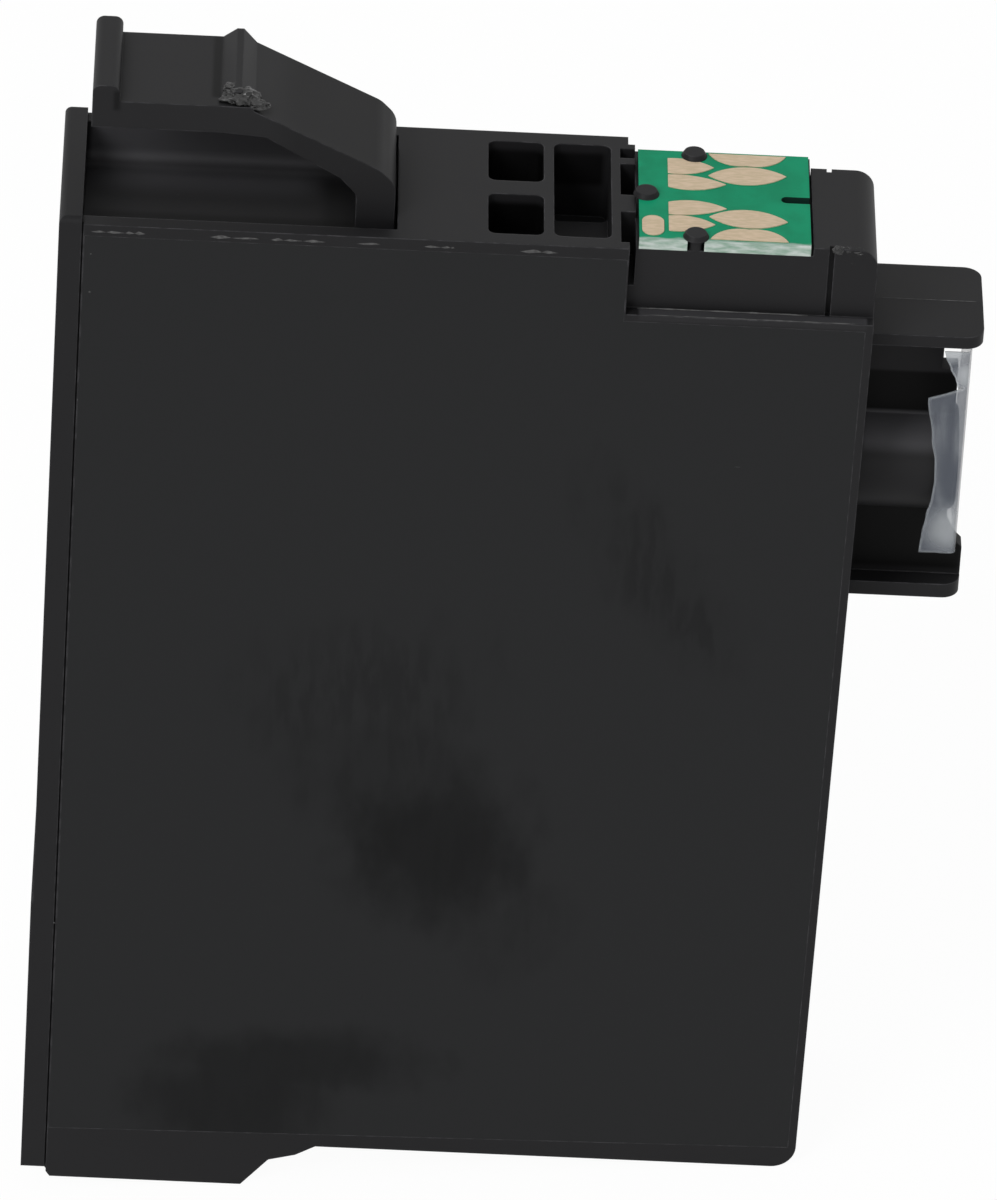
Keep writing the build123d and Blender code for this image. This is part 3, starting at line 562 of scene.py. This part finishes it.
def foldedPoint(settings, past, z):
    radius = settings["foldRadius"]
    turn = min(max(past, 0) / radius, math.pi / 2)
    loose = max(0, past - radius * math.pi / 2)
    sway = settings["wave"] * min(1, loose) * noise.noise(Vector((past * 0.4, 3.1, z * 0.42)))
    proud, height, half = settings["bulge"]
    bulge = proud * min(1, loose) * math.exp(-((z - height) / half) ** 2)
    x = settings["flatX"] - radius * (1 - math.cos(turn)) - loose
    y = settings["foldY"] - min(past, 0) - radius * math.sin(turn) + sway - bulge
    return Vector((x, y, z)) * mm


def makePeelSheet(settings):
    low, middle, high = settings["heights"]
    flatColumns, foldColumns, flapColumns = settings["columns"]
    foldLength = settings["foldRadius"] * math.pi / 2
    places = [-settings["flatLength"] * (1 - k / flatColumns) for k in range(flatColumns)]
    places += [foldLength * k / foldColumns for k in range(foldColumns + 1)]
    shape = bmesh.new()

    def makeRow(z, end, slope):
        row = []
        reach = [foldLength + (end - foldLength) * (k + 1) / flapColumns for k in range(flapColumns)]
        for past in places + reach:
            drop = slope * max(0, past - foldLength) * (z - low) / (middle - low)
            row.append(shape.verts.new(foldedPoint(settings, past, z - drop)))
        return row

    lowerRows, upperRows = settings["rows"]
    flap = [low + (middle - low) * k / lowerRows for k in range(lowerRows + 1)]
    strip = [middle + (high - middle) * k / upperRows for k in range(upperRows + 1)]
    lower = [makeRow(z, eased(settings["flapEnds"], z), settings["flapSlope"]) for z in flap]
    upper = [makeRow(z, eased(settings["stripEnds"], z), 0) for z in strip]
    for rows in (lower, upper):
        for under, over in zip(rows, rows[1:]):
            for k in range(len(under) - 1):
                shape.faces.new((under[k], under[k + 1], over[k + 1], over[k]))
    bmesh.ops.remove_doubles(shape, verts=lower[-1] + upper[0], dist=settings["weld"])
    mesh = newMesh("peelSheet", shape, smooth=True)
    piece = newPiece("peel_sheet", mesh, "peelFilm", "cartridge")
    thicken = piece.modifiers.new("thickness", "SOLIDIFY")
    thicken.thickness = settings["thickness"]
    thicken.offset = 0
    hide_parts("outlet_film")


makePeelSheet(peelSheet)
print("peel film made")

# Ragged slivers of flash along the near front edge, ticks on the seam, one fleck on the film
edgeFlash = {
    "runs": [  # start x, end x, height z, rise, share of the run that has a sliver
        (-25.6, -22.4, 68.62, 0.17, 0.8),
        (-18.6, -8.6, 68.62, 0.17, 0.65),
        (-6.0, -4.2, 68.62, 0.12, 0.7),
        (-2.6, 3.2, 68.6, 0.17, 0.65),
        (-25.62, -25.5, 67.07, 0.09, 1.0),
        (-25.62, -25.45, 64.43, 0.09, 1.0),
        (-26.06, -25.95, 56.85, 0.08, 1.0),
        (-26.2, -26.05, 19.03, 0.09, 1.0),
        (13.2, 13.6, 54.22, 0.03, 1.0),
    ],
    "length": (0.5, 1.7),
    "shortest": 0.02,
    "proud": 0.004,
    "depth": 0.05,
    "seed": 7,
}


def makeFlash(settings):
    draw = random.Random(settings["seed"])
    shape = bmesh.new()
    near = cadLow.y / mm
    for start, end, height, highest, share in settings["runs"]:
        x = start
        while x < end - settings["shortest"]:
            length = min(draw.uniform(*settings["length"]), end - x)
            rise = highest * draw.uniform(0.5, 1)
            peak = draw.uniform(0.3, 0.7)
            if draw.random() < share:
                outline = [
                    (x, height),
                    (x + 0.4 * length, height - rise * 0.6),
                    (x + length, height),
                    (x + (peak + 0.15) * length, height + rise * 0.8),
                    (x + peak * length, height + rise),
                ]
                outer, inner = near - settings["proud"], near + settings["depth"]
                front = [shape.verts.new(Vector((a, outer, b)) * mm) for a, b in outline]
                back = [shape.verts.new(Vector((a, inner, b)) * mm) for a, b in outline]
                shape.faces.new(front)
                shape.faces.new(reversed(back))
                for k in range(len(outline)):
                    other = (k + 1) % len(outline)
                    shape.faces.new((front[other], front[k], back[k], back[other]))
            x += length
    newPiece("edge_flash", newMesh("edgeFlash", shape), "flash", "cartridge")


makeFlash(edgeFlash)
print("flash made")

# Thin ridges of plastic: the mould's parting line on the front guide, and beads along the ledge; their
# pale colour is a painted highlight
ridges = {
    "parting_line": {
        "lines": [((20.9, 0.0, 62.59), (27.4, 0.0, 62.59), 0.05, 0.035)],  # ends, half width, rise
        "finish": "flash",
    },
    "ledge_highlight_beads": {
        "lines": [
            ((6.75, -6.26, 64.54), (20.1, -6.26, 64.54), 0.07, 0.05),
            ((6.8, -5.56, 64.56), (16.9, -5.56, 64.56), 0.07, 0.07),
        ],
        "finish": "bead",
    },
}
ridgeParts = 40
ridgeSunk = 0.03


def makeRidge(name, settings):
    shape = bmesh.new()
    for start, end, halfWidth, rise in settings["lines"]:
        rows = []
        for k in range(ridgeParts + 1):
            share = k / ridgeParts
            x, y, z = Vector(start).lerp(Vector(end), share)
            rough = 0.65 + 0.5 * noise.noise(Vector((x * 1.7, y, 0))) + 0.35 * share
            high = rise * rough * min(1, 12 * share, 12 * (1 - share))
            wide = halfWidth * rough
            corners = ((y - wide, z), (y, z + high), (y + wide, z), (y, z - ridgeSunk))
            rows.append([shape.verts.new(Vector((x, a, b)) * mm) for a, b in corners])
        joinRings(shape, rows)
    newPiece(name, newMesh(name, shape), settings["finish"], "cartridge")


for name, settings in ridges.items():
    makeRidge(name, settings)
print("ridges made:", len(ridges), "pieces")

# Torn plastic: the gate scar at the near end of the lever's catch, flash on the post's near edge; paler
# patches on it are painted glints
tornPlastic = {
    "gate_scar": {
        "body": "latch",
        "lumps": [  # centre, half sizes
            ((-17.2, -3.0, 76.3), (0.98, 0.85, 0.48)),
            ((-16.3, -3.5, 76.1), (0.75, 0.4, 0.26)),
            ((-17.7, -2.5, 76.4), (0.5, 0.5, 0.36)),
        ],
    },
    "post_flash": {
        "body": "cartridge",
        "lumps": [
            ((18.45, -5.36, 69.05), (0.34, 0.22, 0.22)),
            ((19.05, -5.3, 69.05), (0.26, 0.2, 0.16)),
            ((19.6, -5.28, 68.98), (0.36, 0.24, 0.2)),
        ],
    },
}
tornSurface = {
    "subdivisions": 4,
    "lumpScale": 1.4,
    "roughness": 0.7,
    "middle": 0.4,  # cell distance that leaves the surface where it is
    "grain": 0.15,
    "grainScale": 4,
}


def makeTorn(name, settings, surface):
    shape = bmesh.new()
    for centre, sizes in settings["lumps"]:
        made = bmesh.ops.create_icosphere(shape, subdivisions=surface["subdivisions"], radius=1)
        for vert in made["verts"]:
            spot = vert.co * 1.5 + Vector(centre)
            distances, _ = noise.voronoi(spot * surface["lumpScale"])
            rough = 1 + surface["roughness"] * (distances[0] - surface["middle"])
            rough += surface["grain"] * noise.noise(surface["grainScale"] * spot)
            point = Vector([side * size * rough for side, size in zip(vert.co, sizes)])
            vert.co = (Vector(centre) + point) * mm
    newPiece(name, newMesh(name, shape), "torn", settings["body"])


for name, settings in tornPlastic.items():
    makeTorn(name, settings, tornSurface)
print("torn plastic made:", len(tornPlastic), "pieces")

# Valve spring in the port: drawn wire with closed end turns
valveSpring = {
    "wire": 0.18,  # radius
    "turns": 6.0,
    "deadTurns": 0.8,
    "stepsPerTurn": 36,
    "sides": 10,
    "travel": 1.5,
}


def makeValveSpring(settings):
    low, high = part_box("outlet_spring")
    low, high = Vector(low) / mm, Vector(high) / mm
    wire, turns, dead = settings["wire"], settings["turns"], settings["deadTurns"]
    radius = (high.y - low.y) / 2 - wire
    axis = (low + high) / 2
    start, length = low.x + wire, high.x - low.x - 2 * wire
    pitch = (length - 4 * dead * wire) / (turns - 2 * dead)
    shape = bmesh.new()
    rings = []
    for k in range(int(turns * settings["stepsPerTurn"]) + 1):
        turn = k / settings["stepsPerTurn"]
        closed = min(turn, dead) + max(0, turn - turns + dead)
        x = start + 2 * wire * closed + pitch * (turn - closed)
        angle = 2 * math.pi * turn
        outward = Vector((0, math.cos(angle), math.sin(angle)))
        centre = Vector((x, axis.y, axis.z)) + radius * outward
        ring = []
        for side in range(settings["sides"]):
            around = 2 * math.pi * side / settings["sides"]
            offset = wire * (math.cos(around) * outward + math.sin(around) * Vector((1, 0, 0)))
            ring.append(shape.verts.new((centre + offset) * mm))
        rings.append(ring)
    joinRings(shape, rings)
    mesh = newMesh("valveSpring", shape, smooth=True)
    piece = newPiece("valve_spring", mesh, "wire", "cartridge")
    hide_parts("outlet_spring")
    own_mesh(piece)


makeValveSpring(valveSpring)
print("valve spring made")

# Pale floor, tipped so that foot and outlet corner both stand on it
floorSetting = {
    "foot": (-14.0, 0.0),  # x and z in millimetres
    "corner": (18.6, 3.1),
    "gap": 0.02 * mm,
    "half": 3.0,  # in metres
    "colour": (0.94, 0.94, 0.94, 1),
    "whitening": 0.96,
}


def makeFloor(settings):
    footX, footZ = settings["foot"]
    cornerX, cornerZ = settings["corner"]
    slope = (cornerZ - footZ) / (cornerX - footX)
    half = settings["half"]
    corners = []
    for x, y in ((-half, -half), (half, -half), (half, half), (-half, half)):
        corners.append((x, y, footZ * mm + slope * (x - footX * mm) - settings["gap"]))
    mesh = bpy.data.meshes.new("floor")
    mesh.from_pydata(corners, [], [(0, 1, 2, 3)])
    floor = bpy.data.objects.new("floor", mesh)
    bpy.context.scene.collection.objects.link(floor)
    finish = Finish("floor", {"Roughness": 0.9, "Specular IOR Level": 0.1})
    finish.shader.inputs["Base Color"].default_value = settings["colour"]
    white = finish.tree.nodes.new("ShaderNodeEmission")
    seen = finish.add("LightPath", {}, {}, "Is Camera Ray")
    for ray in ("Is Glossy Ray", "Is Transmission Ray"):
        seen = seen.larger(finish.add("LightPath", {}, {}, ray))
    blend = finish.tree.nodes.new("ShaderNodeMixShader")
    finish.put(blend.inputs[0], settings["whitening"] * seen)
    finish.tree.links.new(finish.shader.outputs[0], blend.inputs[1])
    finish.tree.links.new(white.outputs[0], blend.inputs[2])
    output = finish.tree.nodes["Material Output"]
    finish.tree.links.new(blend.outputs[0], output.inputs[0])
    mesh.materials.append(finish.material)


makeFloor(floorSetting)

# World: white to the eye and to reflections, softer as a light
worldLight = {"seen": 1.0, "given": 0.62}
world = bpy.data.worlds.new("surroundings")
bpy.context.scene.world = world
world.use_nodes = True
links, worldNodes = world.node_tree.links, world.node_tree.nodes
background = worldNodes["Background"]
background.inputs["Color"].default_value = (1, 1, 1, 1)
path = worldNodes.new("ShaderNodeLightPath")
diffuse = worldNodes.new("ShaderNodeMapRange")
diffuse.inputs["To Min"].default_value = worldLight["seen"]
diffuse.inputs["To Max"].default_value = worldLight["given"]
links.new(path.outputs["Is Diffuse Ray"], diffuse.inputs["Value"])
links.new(diffuse.outputs["Result"], background.inputs["Strength"])

# Soft lamps: where they stand and how wide, in metres, and how strong
lamps = {
    "key": ((-0.55, -0.72, 0.75), 0.5, 5.8),
    "fill": ((0.1, -1.0, 0.2), 0.7, 1.0),
}
middle = (cadLow + cadHigh) / 2
for name, (spot, width, power) in lamps.items():
    data = bpy.data.lights.new(name, "AREA")
    data.shape = "DISK"
    data.size = width
    data.energy = power
    lamp = bpy.data.objects.new(name, data)
    lamp.location = spot
    lamp.rotation_euler = (middle - Vector(spot)).to_track_quat("-Z", "Y").to_euler()
    bpy.context.scene.collection.objects.link(lamp)
print("stage lit:", len(lamps), "lamps")

# Camera at the photograph's angle
shot = {
    "place": (-21.42, -631.30, 454.83),  # in millimetres
    "look": (0.0282, 0.8353, -0.5491),
    "right": (0.99861, 0.00087, 0.05264),
    "focal": 12488.0,  # in pixels of a frame this high
    "pixels": 1200.0,
    "sensor": 36.0,
}
look = Vector(shot["look"]).normalized()
right = Vector(shot["right"])
right = (right - look * right.dot(look)).normalized()
up = right.cross(look)
camera = bpy.data.objects.new("camera", bpy.data.cameras.new("camera"))
camera.data.sensor_width = shot["sensor"]
camera.data.lens = shot["focal"] / shot["pixels"] * shot["sensor"]
camera.data.clip_start = 0.01
turned = Matrix((right, up, -look)).transposed().to_4x4()
camera.matrix_world = Matrix.Translation(Vector(shot["place"]) * mm) @ turned
bpy.context.scene.collection.objects.link(camera)
bpy.context.scene.camera = camera
bpy.context.scene.view_settings.view_transform = "Standard"
print("camera set")
